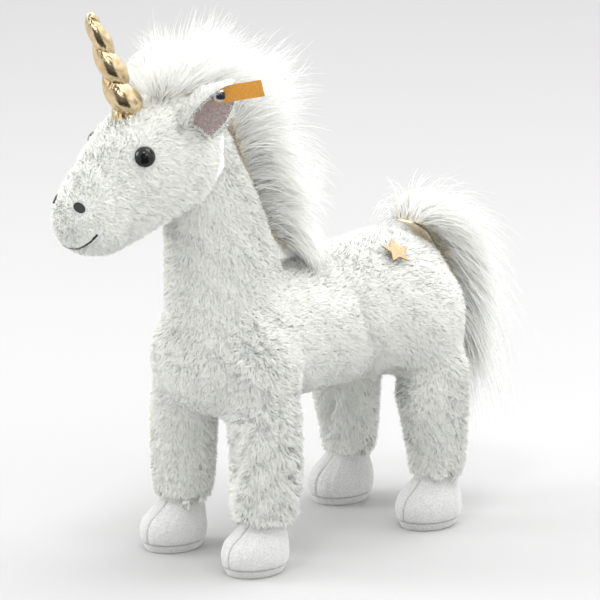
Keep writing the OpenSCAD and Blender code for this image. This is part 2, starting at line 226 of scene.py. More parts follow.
def cover_skin(name, nodes, voxel, rounds, inset):
    """One closed skin round the frame's covers and filling, the depth of its pile inside them."""
    bm = bmesh.new()
    for n in nodes:
        bm.from_mesh(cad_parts[n].data)
    o = wrap(put(name, bm), voxel, 2)
    bm = bmesh.new()
    bm.from_mesh(o.data)
    left, best = set(bm.verts), []
    while left:
        group, edge = [], [left.pop()]
        while edge:
            v = edge.pop()
            group.append(v)
            for e in v.link_edges:
                w = e.other_vert(v)
                if w in left:
                    left.remove(w)
                    edge.append(w)
        if len(group) > len(best):
            best = group
    keep = set(best)
    bmesh.ops.delete(bm, geom=[v for v in bm.verts if v not in keep], context="VERTS")
    for k in range(rounds):
        bmesh.ops.smooth_vert(bm, verts=bm.verts[:], factor=0.5, use_axis_x=True,
                              use_axis_y=True, use_axis_z=True)
    bm.to_mesh(o.data)
    bm.free()
    set_vertices(o, vertices(o) - normals(o) * inset)
    return o


def clear_of(points, node, margin):
    """False for the points within margin of a CAD node, so that no pile grows through it."""
    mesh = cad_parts[node].data
    tree = BVHTree.FromPolygons([v.co for v in mesh.vertices], [p.vertices[:] for p in mesh.polygons])
    lo, hi = np.array(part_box(node)[0]) - margin, np.array(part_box(node)[1]) + margin
    ok = np.ones(len(points), bool)
    for i in np.nonzero(((points > lo) & (points < hi)).all(1))[0]:
        ok[i] = tree.find_nearest(points[i], margin)[0] is None
    return ok


def distance_to(points, line):
    """Distance of each point from a polyline, all in metres."""
    best = np.full(len(points), 1e9)
    for a, b in zip(line[:-1], line[1:]):
        d = b - a
        t = np.clip((points - a) @ d / (d @ d), 0, 1)
        best = np.minimum(best, np.linalg.norm(points - (a + t[:, None] * d), axis=1))
    return best


def puff(o, held, pressure=4.0, limit=0.004):
    """A short cloth run that blows the cover up between the vertices that are held."""
    rest = vertices(o)
    g = o.vertex_groups.new(name="held")
    for i in np.nonzero(held > 0.02)[0]:
        g.add([int(i)], float(min(1, held[i])), "REPLACE")
    m = o.modifiers.new("cloth", "CLOTH")
    s = m.settings
    s.quality = 6
    s.mass = 0.1
    s.tension_stiffness = s.compression_stiffness = 12
    s.shear_stiffness = 5
    s.bending_stiffness = 1.0
    s.use_pressure = True
    s.uniform_pressure_force = pressure
    s.vertex_group_mass = "held"
    s.effector_weights.gravity = 0
    m.point_cache.frame_start, m.point_cache.frame_end = 1, 20
    for f in range(1, 21):
        scene.frame_set(f)
    evaluated(o)
    scene.frame_set(1)
    o.vertex_groups.clear()
    move = vertices(o) - rest
    far = np.linalg.norm(move, axis=1, keepdims=True)
    set_vertices(o, rest + move * np.minimum(1, limit / np.maximum(far, 1e-9)))
    return o


body = cover_skin("trunk_plush", ["torso_cover", "torso_stuffing", "neck_plug"]
                  + [n + "_leg_cover" for n in LEGS] + [n + "_leg_stuffing" for n in LEGS],
                  0.0030, 12, 0.0031)

# The thighs run forward into the belly above the hind knees, and taper to the cuffs.
co, nn = vertices(body), normals(body)
thigh = np.clip((co[:, 1] - 0.03) / 0.02, 0, 1) * np.clip(-nn[:, 1], 0, 1) ** 0.7
thigh *= np.clip((co[:, 2] - 0.040) / 0.035, 0, 1) * np.clip((0.098 - co[:, 2]) / 0.016, 0, 1)
co[:, 1] -= 0.0080 * thigh
# The chest and throat stand a little fuller than the rest.
co[:, 1] -= 0.0014 * np.clip(-nn[:, 1], 0, 1) * (co[:, 1] < -0.05)
set_vertices(body, co)

SEAMS = [np.array(line, float) * MM for line in (
    [[19, -82, 212], [20.5, -82, 194], [21.5, -81, 176], [24, -79, 153], [30, -79.5, 136],
     [32, -78.5, 115], [33, -76, 92], [33, -75, 60], [34, -74, 28]],
    [[-19, -82, 212], [-20.5, -82, 194], [-21.5, -81, 176], [-24, -79, 153], [-28, -79.5, 136],
     [-28, -78.5, 115], [-28, -75, 92], [-31, -74, 68], [-33, -73, 46], [-34, -72, 28]],
    [[32, 22, 153], [38, 23.5, 142], [40.5, 25.5, 130], [38, 32, 117], [32, 40, 107], [20, 48, 95]],
    [[-32, 22, 153], [-38, 23.5, 142], [-40.5, 25.5, 130], [-38, 32, 117], [-32, 40, 107],
     [-20, 48, 95]],
    [[31, 66, 75], [33, 67, 62], [37.5, 67, 48], [42, 68, 37], [43, 68, 27]],
    [[-31, 66, 75], [-33, 67, 62], [-37.5, 67, 48], [-42, 68, 37], [-43, 68, 27]],
    [[0, -100, 140], [0, -70, 94], [0, 0, 88], [0, 70, 90]])]
co = vertices(body)
near = np.min([distance_to(co, line) for line in SEAMS], axis=0)
puff(body, np.exp(-(near / 0.004) ** 2), 3.0, 0.0015)
co, nn = vertices(body), normals(body)
near = np.min([distance_to(co, line) for line in SEAMS], axis=0)
crease = np.min([distance_to(co, line) for line in SEAMS[2:4]], axis=0)
set_vertices(body, co - nn * (0.0016 * np.exp(-(near / 0.003) ** 2)
                              + 0.0035 * np.exp(-(crease / 0.006) ** 2))[:, None])


# ---------------------------------------------------------------- pile on the skin
# The pile itself: short bent tufts of white fibre, combed back and down, leaning together in
# little clumps, and parted at the seams.
def blade_shape(steps):
    """One flat hair of unit length and width along +Y, drawn to a point at its end."""
    bm = bmesh.new()
    bmesh.ops.create_grid(bm, x_segments=1, y_segments=steps, size=0.5)
    bmesh.ops.translate(bm, verts=bm.verts[:], vec=(0, 0.5, 0))
    bmesh.ops.pointmerge(bm, verts=[v for v in bm.verts if v.co.y > 0.99], merge_co=(0, 1, 0))
    bmesh.ops.triangulate(bm, faces=bm.faces[:])
    bmesh.ops.recalc_face_normals(bm, faces=bm.faces[:])
    bm.verts.index_update()
    v = np.array([x.co for x in bm.verts])
    f = np.array([[x.index for x in face.verts] for face in bm.faces])
    flip = bm.faces[0].normal.z < 0
    bm.free()
    return v, f[:, ::-1] if flip else f


HAIR_V, HAIR_F = blade_shape(2)


def wavy(p, scale, seed):
    """A smooth random value from -1 to 1 at each point, without a texture."""
    r = np.random.RandomState(seed)
    out = 0
    for k in range(4):
        w = r.normal(size=3) * 2 * math.pi / scale * (1 + 0.6 * k)
        out = out + np.sin(p @ w + r.uniform(0, 6.28)) / (1 + 0.5 * k)
    return out / 2.2


def mesh_from(name, v, f, smooth_normals=None, along=None):
    mesh = bpy.data.meshes.new(name)
    mesh.vertices.add(len(v))
    mesh.vertices.foreach_set("co", v.astype(np.float32).ravel())
    size = f.shape[1]
    mesh.loops.add(f.size)
    mesh.loops.foreach_set("vertex_index", f.astype(np.int32).ravel())
    mesh.polygons.add(len(f))
    mesh.polygons.foreach_set("loop_start", np.arange(0, f.size, size, dtype=np.int32))
    mesh.update(calc_edges=True)
    mesh.polygons.foreach_set("use_smooth", np.ones(len(f), bool))
    if along is not None:
        a = mesh.attributes.new("along", "FLOAT", "POINT")
        a.data.foreach_set("value", along.astype(np.float32))
    if smooth_normals is not None:
        mesh.normals_split_custom_set_from_vertices(smooth_normals.astype(np.float32))
    return mesh


def scatter(o, per_mm2, r, keep=None):
    """Random points on o's surface with their normals: (points, normals), in metres."""
    o.data.calc_loop_triangles()
    tri = np.zeros(len(o.data.loop_triangles) * 3, np.int32)
    o.data.loop_triangles.foreach_get("vertices", tri)
    tri = tri.reshape(-1, 3)
    co, nn = vertices(o), normals(o)
    a, b, c = co[tri[:, 0]], co[tri[:, 1]], co[tri[:, 2]]
    area = np.linalg.norm(np.cross(b - a, c - a), axis=1) / 2
    weight = area * (keep((a + b + c) / 3) if keep else 1)
    count = int(weight.sum() * 1e6 * per_mm2)
    pick = r.choice(len(tri), count, p=weight / weight.sum())
    u, w = r.rand(2, count)
    flip = u + w > 1
    u[flip], w[flip] = 1 - u[flip], 1 - w[flip]
    t = tri[pick]
    p = co[t[:, 0]] + u[:, None] * (co[t[:, 1]] - co[t[:, 0]]) + w[:, None] * (co[t[:, 2]] - co[t[:, 0]])
    n = nn[t[:, 0]] * (1 - u - w)[:, None] + nn[t[:, 1]] * u[:, None] + nn[t[:, 2]] * w[:, None]
    return p, n / np.linalg.norm(n, axis=1, keepdims=True)


def pile(name, points, normal, comb, length, width, ruffle, seed=1):
    """A mesh of short hairs. comb is the way they lie, ruffle is how far they curl and clump."""
    r = np.random.RandomState(seed)
    n = len(points)
    ruffle = np.asarray(ruffle)[:, None]
    swirl = np.stack([wavy(points, 0.030, seed + k) for k in range(3)], 1)
    curl = np.stack([wavy(points, 0.009, seed + 20 + k) for k in range(3)], 1)
    comb = comb + 0.40 * swirl + (0.25 + 1.2 * ruffle) * curl + r.normal(size=(n, 3)) * 0.55
    comb = comb - (comb * normal).sum(1, keepdims=True) * normal
    comb /= np.linalg.norm(comb, axis=1, keepdims=True) + 1e-9
    reach = (length * (0.7 + 0.45 * r.rand(n)))[:, None]
    lift = 0.62 + 0.35 * r.rand(n, 1) + 0.2 * ruffle
    p1 = points + reach * 0.5 * (normal * lift + comb * 0.5)
    p2 = p1 + reach * 0.5 * (normal * (lift - 0.30) + comb * 0.75)
    cell = np.floor(points / 0.0024 + 0.5 * curl + 1.2 * swirl + 0.35 * r.normal(size=(n, 3)))
    cell = cell.astype(int)
    _, ids = np.unique(cell, axis=0, return_inverse=True)
    ids = ids.ravel()
    size = np.bincount(ids)
    middle = np.stack([np.bincount(ids, p2[:, k]) for k in range(3)], 1) / size[:, None]
    gather = (0.12 + 0.34 * ruffle) * (0.6 + 0.8 * r.rand(n, 1))
    p2 = p2 + gather * (middle[ids] - p2)
    p1 = p1 + 0.3 * gather * (middle[ids] - p1)
    way = p2 - points
    way /= np.linalg.norm(way, axis=1, keepdims=True)
    side = np.cross(way, normal)
    side /= np.linalg.norm(side, axis=1, keepdims=True) + 1e-9
    turn = r.normal(size=(n, 1)) * 0.5
    side = side * np.cos(turn) + np.cross(way, side) * np.sin(turn)
    path = np.stack([points - normal * 0.0005, p1, p2], 1)
    step = np.rint(HAIR_V[:, 1] * 2).astype(int)
    wide = width * (0.8 + 0.4 * r.rand(n))[:, None, None]
    v = path[:, step] + wide * HAIR_V[None, :, 0:1] * side[:, None]
    k = len(HAIR_V)
    f = (HAIR_F[None] + (np.arange(n) * k)[:, None, None]).reshape(-1, 3)
    lean = (p2 - middle[ids]) / 0.0028
    soft = normal[:, None] + 0.4 * lean[:, None] + 0.4 * HAIR_V[None, :, 0:1] * side[:, None]
    soft = soft + 0.15 * way[:, None] * (HAIR_V[None, :, 1:2] - 0.4)
    soft /= np.linalg.norm(soft, axis=2, keepdims=True)
    along = np.tile(HAIR_V[:, 1], n)
    return mesh_from(name, v.reshape(-1, 3), f, soft.reshape(-1, 3), along)


def body_comb(p):
    """The lie of the pile: down the neck and legs, back and down over the trunk."""
    down = np.tile([0.0, 0.05, -1.0], (len(p), 1))
    trunk = np.tile([0.0, 0.75, -0.65], (len(p), 1))
    w = np.clip((p[:, 2] - 0.095) / 0.02, 0, 1) * np.clip((0.175 - p[:, 2]) / 0.02, 0, 1)
    w *= np.clip((p[:, 1] + 0.07) / 0.03, 0, 1)
    return down * (1 - w)[:, None] + trunk * w[:, None]


def ruffled(p):
    """From 0 to 1: the pile is curled and clumped on the shoulder and outer front leg."""
    front = np.exp(-((p[:, 1] + 0.056) / 0.030) ** 2) * np.clip((p[:, 0] - 0.012) / 0.02, 0, 1)
    front *= np.clip((0.165 - p[:, 2]) / 0.03, 0, 1)
    side = 0.25 * np.exp(-((p[:, 1] - 0.0) / 0.04) ** 2) * np.clip((p[:, 0] - 0.02) / 0.02, 0, 1)
    hind = 0.22 * np.clip((p[:, 1] - 0.03) / 0.03, 0, 1)
    return np.clip(0.02 + front + side + hind + 0.15 * wavy(p, 0.035, 5), 0, 1)


def pile_length(p):
    return 0.0053 + 0.0021 * ruffled(p) - 0.0010 * np.clip((0.04 - p[:, 2]) / 0.015, 0, 1)


CUFF = 0.0265
CUT = 0.086
FILL_FOOT = 0.037
DENSE = 3.9
pts, nrm = scatter(body, DENSE, rng, lambda c: (c[:, 2] > CUFF) * 1.0)
ok = clear_of(pts, "star_patch", 0.0012)
pts, nrm = pts[ok], nrm[ok]
away = np.min([distance_to(pts, line) for line in SEAMS], axis=0)
parted = np.exp(-(away / 0.0019) ** 2)
lengths = pile_length(pts) * (1 - 0.8 * parted)
curly = ruffled(pts) * (1 - parted)
wide = 0.00040


def cut_below(o, z, keep_above):
    bm = bmesh.new()
    bm.from_mesh(o.data)
    bmesh.ops.bisect_plane(bm, geom=bm.verts[:] + bm.edges[:] + bm.faces[:], plane_co=(0, 0, z),
                           plane_no=(0, 0, 1), clear_inner=keep_above, clear_outer=not keep_above)
    return bm


# The open cuffs: the plush is cut off above the hooves, which go up inside it.
bm = cut_below(body, CUFF, True)
bm.to_mesh(body.data)
bm.free()
for poly in body.data.polygons:
    poly.use_smooth = True

filling = new_material("filling", (0.9, 0.9, 0.88), 1.0)


def filling_under(o, name, node, depth=0.0022, foot=None):
    """The filling: its skin's own shape, a little smaller where the skin has room for it."""
    inner = put(name, o.data.copy())
    tree = BVHTree.FromPolygons([v.co for v in o.data.vertices],
                                [f.vertices[:] for f in o.data.polygons])
    co, nn = vertices(o), normals(o)
    far = [tree.ray_cast(Vector(p - n * 0.0002), Vector(-n))[3] for p, n in zip(co, nn)]
    room = np.array([1.0 if d is None else d for d in far])
    moved = co - nn * np.minimum(depth, 0.4 * room)[:, None]
    for i, p in enumerate(moved):
        spot, out, _, _ = tree.find_nearest(Vector(p))
        if (Vector(p) - spot).dot(out) > -0.0002:
            moved[i] = co[i] - nn[i] * 0.0003
    set_vertices(inner, moved)
    if foot:
        bm = cut_below(inner, foot, True)
        rim = [e for e in bm.edges if e.is_boundary and max(v.co.z for v in e.verts) < foot + 0.0002]
        bmesh.ops.holes_fill(bm, edges=rim, sides=0)
        bm.to_mesh(inner.data)
        bm.free()
    inner.data.materials.clear()
    inner.data.materials.append(filling)
    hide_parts(node)
    return inner


part_of = np.full(len(pts), -1)
for i, (name, (x, hoof_y, leg_y)) in enumerate(LEGS.items()):
    inside = (pts[:, 2] < CUT) & (pts[:, 0] * x > 0) & ((pts[:, 1] < 0) == (leg_y < 0))
    part_of[inside] = i
for i, (name, (x, hoof_y, leg_y)) in enumerate(LEGS.items()):
    bm = cut_below(body, CUT, False)
    gone = [v for v in bm.verts if not (v.co.x * x > 0 and (v.co.y < 0) == (leg_y < 0))]
    bmesh.ops.delete(bm, geom=gone, context="VERTS")
    leg = put(name + "_leg_plush", bm)
    for poly in leg.data.polygons:
        poly.use_smooth = True
    leg.data.materials.append(skin_white)
    own = part_of == i
    fur = put(name + "_leg_pile", pile(name + "_leg_pile", pts[own], nrm[own], body_comb(pts[own]),
                                       lengths[own], wide, curly[own], seed=11 + i))
    fur.data.materials.append(plush)
    inner = filling_under(leg, name + "_leg_filling", name + "_leg_stuffing", 0.0030, FILL_FOOT)
    for o in (leg, fur, inner):
        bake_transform(o)
    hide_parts(name + "_leg_cover")
bm = cut_below(body, CUT, True)
bm.to_mesh(body.data)
bm.free()
for poly in body.data.polygons:
    poly.use_smooth = True
body.data.materials.append(skin_white)
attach(body, "torso")
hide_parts("torso_cover")
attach(filling_under(body, "torso_filling", "torso_stuffing"), "torso")
own = part_of < 0
for k, (y0, y1) in enumerate(((-1, -0.03), (-0.03, 0.045), (0.045, 1))):
    for side in (-1, 1):
        chosen = own & (pts[:, 1] >= y0) & (pts[:, 1] < y1) & (pts[:, 0] * side > 0)
        name = "trunk_pile_" + str(k + 1) + ("_left" if side > 0 else "_right")
        fur = put(name, pile(name, pts[chosen], nrm[chosen], body_comb(pts[chosen]),
                             lengths[chosen], wide, curly[chosen], seed=31))
        fur.data.materials.append(plush)
        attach(fur, "torso")


# ---------------------------------------------------------------- head
# A separate sewn head over the top of the neck: a round cranium, cheeks and a straight nose
# down to a blunt muzzle.
def to_row(p):
    """From the head's own place, in millimetres, to the row frame, in metres."""
    return (np.asarray(p, float) @ HEAD_TURN.T + HEAD) * MM


head = cover_skin("head_plush", ["head_cover", "head_stuffing"], 0.0025, 10, 0.0024)
co, nn = vertices(head), normals(head)
low = np.clip(-nn[:, 2], 0, 1) * np.clip((0.235 - co[:, 2]) / 0.01, 0, 1) + np.clip(-nn[:, 1], 0, 1) * (
    co[:, 1] < -0.15)
set_vertices(head, co + nn * (0.0028 * np.clip(low, 0, 1))[:, None])
JAW = [[24, -72, -30], [27, -58, -27], [30, -42, -22], [33, -20, -18], [28, 4, -14]]
HEAD_SEAMS = [to_row(JAW), to_row([[-x, y, z] for x, y, z in JAW]),
              to_row([[0, -92, -20], [0, -70, 3], [0, -50, 26], [0, -30, 38], [0, -5, 37]])]
co = vertices(head)
near = np.min([distance_to(co, line) for line in HEAD_SEAMS], axis=0)
puff(head, np.exp(-(near / 0.004) ** 2), 3.0, 0.0012)
co, nn = vertices(head), normals(head)
near = np.min([distance_to(co, line) for line in HEAD_SEAMS[:2]], axis=0)
set_vertices(head, co - nn * (0.0010 * np.exp(-(near / 0.0025) ** 2))[:, None])
for poly in head.data.polygons:
    poly.use_smooth = True
head.data.materials.append(skin_white)
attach(head, "head")
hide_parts("head_cover")
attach(filling_under(head, "head_filling", "head_stuffing", 0.0018), "head")

pts, nrm = scatter(head, DENSE * 1.15, rng)
own = (pts / MM - HEAD) @ HEAD_TURN
eye_at = [(np.array(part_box(n)[0]) + np.array(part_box(n)[1])) / 2 for n in ("left_eye", "right_eye")]
nose_at = [(np.array(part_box(n)[0]) + np.array(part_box(n)[1])) / 2
           for n in ("left_nostril", "right_nostril")]
comb = np.tile([0.0, 1.0, -0.35], (len(pts), 1))
comb[:, 2] -= 0.5 * np.clip((own[:, 1] + 30) / 40, 0, 1)
comb = comb @ HEAD_TURN.T
muzzle = np.clip((-own[:, 1] - 55) / 30, 0, 1)
lengths = 0.0054 - 0.0018 * muzzle
shy = np.ones(len(pts))
for c in eye_at:
    d = np.linalg.norm(pts - c, axis=1)
    lengths = lengths * (1 - 0.5 * np.exp(-(d / 0.008) ** 2))
    shy = shy * (d > 0.0058)
    comb += 1.2 * np.exp(-(d / 0.010) ** 2)[:, None] * (pts - c) / d[:, None]
for c in nose_at:
    d = np.linalg.norm(pts - c, axis=1)
    shy = shy * (d > 0.0042)
    comb += 1.2 * np.exp(-(d / 0.006) ** 2)[:, None] * (pts - c) / d[:, None]
SMILE = [[0, -88.5, -43], [4.5, -87.5, -42.2], [8.7, -86.3, -41], [13.3, -85, -38.6],
         [17.3, -83.4, -35.8], [19.8, -81, -32]]
SMILE = [[-a, b, c] for a, b, c in SMILE[:0:-1]] + SMILE
ok = (shy > 0.5) & (distance_to(pts, to_row(SMILE)) > 0.0022)
for side in (-1, 1):
    chosen = ok & (own[:, 0] * side > 0)
    name = "head_pile" + ("_left" if side > 0 else "_right")
    fur = put(name, pile(name, pts[chosen], nrm[chosen], comb[chosen], lengths[chosen], wide * 0.9,
                         np.full(chosen.sum(), 0.05), seed=51))
    fur.data.materials.append(plush)
    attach(fur, "head")


# ---------------------------------------------------------------- mane, forelock and tail
# Long silky white pile on a strip of beige backing. Each hair is a thin tapering ribbon that
# leaves the strip, leans into its lock and droops.
def strands(name, roots, aim, length, droop, width, locks, gather, face, steps=7, seed=1):
    r = np.random.RandomState(seed)
    n = len(roots)
    lock = r.randint(0, len(roots), locks)
    gap = ((roots[:, None] - roots[lock][None]) ** 2).sum(2) + 0.25e-4 * r.rand(n, locks)
    ids = gap.argmin(1)
    fall = np.array([0.0, 0.0, -1.0])

    def path(root, way, reach, sag):
        p, d, out = root.copy(), way.copy(), [root.copy()]
        for k in range(steps):
            d = d + sag[:, None] / steps * fall
            d /= np.linalg.norm(d, axis=1, keepdims=True)
            p = p + d * (reach / steps)[:, None]
            out.append(p.copy())
        return np.stack(out, 1)

    aim = aim / np.linalg.norm(aim, axis=1, keepdims=True)
    way = aim + r.normal(size=(n, 3)) * 0.24
    main = path(roots[lock], aim[lock] + r.normal(size=(locks, 3)) * 0.32,
                length[lock] * (0.8 + 0.4 * r.rand(locks)), droop[lock] * (0.6 + 0.8 * r.rand(locks)))
    hair = path(roots, way / np.linalg.norm(way, axis=1, keepdims=True),
                length * (0.7 + 0.45 * r.rand(n)), droop * (0.7 + 0.6 * r.rand(n)))
    pull = gather * np.linspace(0, 1, steps + 1) ** 1.2
    pull = pull[None, :, None] * (0.5 + 0.5 * r.rand(n))[:, None, None]
    hair = hair + pull * (main[ids] - hair)
    curl = r.normal(size=(n, 1, 3)) * np.sin(np.linspace(0, 5, steps + 1))[None, :, None] * 0.0007
    hair = hair + curl * np.linspace(0, 1, steps + 1)[None, :, None]
    tangent = np.gradient(hair, axis=1)
    tangent /= np.linalg.norm(tangent, axis=2, keepdims=True) + 1e-9
    across = np.cross(tangent, r.normal(size=(n, 1, 3)))
    across /= np.linalg.norm(across, axis=2, keepdims=True) + 1e-9
    soft = np.repeat(face[:, None], steps + 1, 1) + 0.35 * r.normal(size=(n, 1, 3))
    facing = (np.cross(across, tangent) * soft).sum((1, 2), keepdims=True)
    across = across * np.where(facing < 0, -1, 1)
    taper = (1 - np.linspace(0, 1, steps + 1) ** 1.6 * 0.93)[None, :, None] * width
    v = np.stack([hair - across * taper, hair + across * taper], 2).reshape(-1, 3)
    base = (np.arange(n) * (steps + 1) * 2)[:, None] + (np.arange(steps) * 2)[None]
    base = base.ravel()
    f = np.stack([base, base + 1, base + 3, base + 2], 1)
    soft = soft + 0.35 * np.cross(across, tangent)
    soft /= np.linalg.norm(soft, axis=2, keepdims=True) + 1e-9
    soft = np.repeat(soft[:, :, None], 2, 2).reshape(-1, 3)
    along = np.tile(np.repeat(np.linspace(0, 1, steps + 1), 2), n)
    return mesh_from(name, v, f, soft, along)


CREST = [[0, -54, 262], [0, -47, 240], [0, -37, 215], [0, -23, 190], [0, -1, 174]]
MANY = 7000
s = rng.rand(MANY)
crest = np.array([on_keys(CREST, x) for x in s])
ahead = np.array([on_keys(CREST, min(1, x + 0.02)) for x in s]) - np.array(
    [on_keys(CREST, max(0, x - 0.02)) for x in s])
ahead /= np.linalg.norm(ahead, axis=1, keepdims=True)
outward = np.stack([0 * s, -ahead[:, 2], ahead[:, 1]], 1)
lean = rng.normal(size=MANY)
roots = (crest + outward * 3.0 + np.stack([lean * 2.2, 0 * s, 0 * s], 1)) * MM
aim = outward + np.stack([lean * 0.30, -0.25 * (1 - s), 0.75 - 1.6 * s ** 2], 1)
reach = np.interp(s, [0, 0.25, 0.5, 0.75, 1], [0.064, 0.064, 0.060, 0.050, 0.036])
reach = reach * (0.55 + 0.5 * rng.rand(MANY)) * (1 + 0.18 * (rng.rand(MANY) > 0.95))
face = np.stack([np.sign(lean) * 0.9, 0.1 + 0 * s, 0.55 + 0 * s], 1)
mane = put("mane_hair", strands("mane_hair", roots, aim, reach, 0.9 + 1.3 * s, 0.00024, 95, 0.72,
                                face, seed=71))
mane.data.materials.append(silk)
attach(mane, "torso")
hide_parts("mane")

TOP = [[0, -30, 36], [0, -18, 38], [0, -6, 38], [0, 6, 34]]
MANY = 2700
s = rng.rand(MANY)
lean = rng.normal(size=MANY)
roots = np.array([on_keys(TOP, x) for x in s]) + np.stack([lean * 3.0, 0 * s, 0 * s], 1)
aim = np.stack([lean * 0.38, s * 1.55 - 0.28, 1.0 - 0.35 * s], 1) @ HEAD_TURN.T
reach = (0.030 + 0.030 * np.clip(s * 2.2, 0, 1)) * (0.50 + 0.50 * rng.rand(MANY))
reach = reach * (1 + 0.30 * (rng.rand(MANY) > 0.94))
face = np.stack([np.sign(lean) * 0.8, s - 0.6, 0.7 + 0 * s], 1)
forelock = put("forelock_hair", strands("forelock_hair", to_row(roots), aim, reach,
                                        0.25 + 0.3 * rng.rand(MANY), 0.00022, 60, 0.8, face,
                                        seed=81))
forelock.data.materials.append(silk)
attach(forelock, "head")
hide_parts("forelock")

DOCK = [[0, 96, 177], [0, 108, 170], [0, 117, 157], [0, 122, 141], [0, 124, 120]]
MANY = 7000
s = rng.rand(MANY)
dock = np.array([on_keys(DOCK, x) for x in s])
lean = rng.normal(size=MANY)
roots = (dock + np.stack([lean * 4.5, 0 * s + 1.0, 0 * s + 0.5], 1)) * MM
aim = np.stack([lean * 0.35, 0.50 + 0.25 * s, 0.80 - 1.45 * s], 1)
reach = (0.046 + 0.040 * s) * (0.66 + 0.42 * rng.rand(MANY))
face = np.stack([np.sign(lean) * 0.9, 0.2 + 0 * s, 0.5 + 0 * s], 1)
tail = put("tail_hair", strands("tail_hair", roots, aim, reach, 1.7 + 0.7 * s, 0.00026, 110, 0.6,
                                face, seed=91))
tail.data.materials.append(silk)
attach(tail, "tail")
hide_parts("tail_fur")

backing = new_material("woven_backing", (0.80, 0.68, 0.48), 0.95, 0.2)
tone(backing, (0.62, 0.48, 0.30), (0.86, 0.76, 0.57), 420)
for n in ("mane_backing", "tail_backing"):
    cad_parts[n].data.materials.clear()
    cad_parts[n].data.materials.append(backing)


# ---------------------------------------------------------------- horn
# A stuffed cone of pale gold foil fabric, wound with thread that draws it in to a spiral.
HORN_L, HORN_R, TURNS = 67.0, 10.5, 3.25
HORN_AT = np.array([0, -46.5, 30.5])
horn_bm = bmesh.new()
ring_n, rows = 72, 150
bmesh.ops.create_circle(horn_bm, cap_ends=False, segments=ring_n, radius=HORN_R * MM)
edges = horn_bm.edges[:]
for k in range(rows):
    made = bmesh.ops.extrude_edge_only(horn_bm, edges=edges)["geom"]
    ring = [g for g in made if isinstance(g, bmesh.types.BMVert)]
    edges = [g for g in made if isinstance(g, bmesh.types.BMEdge)
             and all(v in set(ring) for v in g.verts)]
    bmesh.ops.translate(horn_bm, verts=ring, vec=(0, 0, HORN_L / rows * MM))
bmesh.ops.contextual_create(horn_bm, geom=edges)
bmesh.ops.recalc_face_normals(horn_bm, faces=horn_bm.faces[:])
horn = put("horn_foil", horn_bm)
co = vertices(horn) / MM
angle = np.arctan2(co[:, 1], co[:, 0])
s = co[:, 2] / HORN_L
r = HORN_R * (1 - 0.60 * s ** 1.15)
tip = np.clip((s - 0.86) / 0.14, 0, 1)
r = r * np.sqrt(np.maximum(0, 1 - tip ** 2))
phase = s * TURNS + angle / (2 * math.pi)
gap = np.abs(phase - np.round(phase)) * 2
pinch = 0.62 + 0.40 * np.sin(np.pi / 2 * np.minimum(1, gap)) ** 0.75
folds = np.exp(-(gap / 0.38) ** 2) * (0.030 * np.sin(angle * 15 + 5 * np.sin(s * 31))
                                      + 0.022 * np.sin(angle * 23 + s * 60))
folds += 0.012 * np.sin(angle * 3 + s * 23) * gap
r = r * (pinch + folds)
flat = np.stack([r * np.cos(angle), r * np.sin(angle), co[:, 2]], 1)
LEAN = np.array(Matrix.Rotation(math.radians(23), 3, "X"))
set_vertices(horn, to_row(flat @ LEAN.T + HORN_AT))
foil = new_material("gold_foil", (0.80, 0.66, 0.42), 0.20, 0.0, 1.0)
t = foil.node_tree
tone(foil, (0.58, 0.43, 0.23), (0.80, 0.66, 0.43), 260)
co_n = t.nodes.new("ShaderNodeTexCoord")
wr = t.nodes.new("ShaderNodeTexNoise")
wr.inputs["Scale"].default_value = 1500
wr.inputs["Detail"].default_value = 4
bump = t.nodes.new("ShaderNodeBump")
bump.inputs["Strength"].default_value = 0.12
bump.inputs["Distance"].default_value = 0.0004
t.links.new(co_n.outputs["Object"], wr.inputs["Vector"])
t.links.new(wr.outputs["Fac"], bump.inputs["Height"])
t.links.new(bump.outputs["Normal"], t.nodes["Principled BSDF"].inputs["Normal"])
for poly in horn.data.polygons:
    poly.use_smooth = True
horn.data.materials.append(foil)
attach(horn, "head")
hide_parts("horn_cover", "horn_thread")
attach(filling_under(horn, "horn_filling", "horn_stuffing", 0.0008), "head")


# ---------------------------------------------------------------- hooves
# Egg-shaped hooves of pale suede over filling, sewn with one seam up the toe and one round the foot above a
# flat sole, with painted shade in the seam grooves. They go up into the open cuffs.
suede = new_material("suede", (0.70, 0.70, 0.70), 0.95, 0.5)
tone(suede, (0.40, 0.40, 0.39), (0.60, 0.60, 0.585), 1400)
st = suede.node_tree
# Painted shade in the seam grooves: the base colour is darkened where the "seam" attribute is high.
seam_groove_shade = st.nodes.new("ShaderNodeAttribute")
seam_groove_shade.attribute_name = "seam"
groove_shade = st.nodes.new("ShaderNodeMix")
groove_shade.data_type = "RGBA"
groove_shade.inputs[7].default_value = (0.22, 0.22, 0.21, 1)
base = st.nodes["Principled BSDF"].inputs["Base Color"]
st.links.new(base.links[0].from_socket, groove_shade.inputs[6])
st.links.new(seam_groove_shade.outputs["Fac"], groove_shade.inputs[0])
st.links.new(groove_shade.outputs[2], base)
nap = st.nodes.new("ShaderNodeTexNoise")
nap.inputs["Scale"].default_value = 2200
nap_co = st.nodes.new("ShaderNodeTexCoord")
nap_bump = st.nodes.new("ShaderNodeBump")
nap_bump.inputs["Strength"].default_value = 0.35
nap_bump.inputs["Distance"].default_value = 0.0003
st.links.new(nap_co.outputs["Object"], nap.inputs["Vector"])
st.links.new(nap.outputs["Fac"], nap_bump.inputs["Height"])
st.links.new(nap_bump.outputs["Normal"], st.nodes["Principled BSDF"].inputs["Normal"])
SOLE_TOP = 0.0048
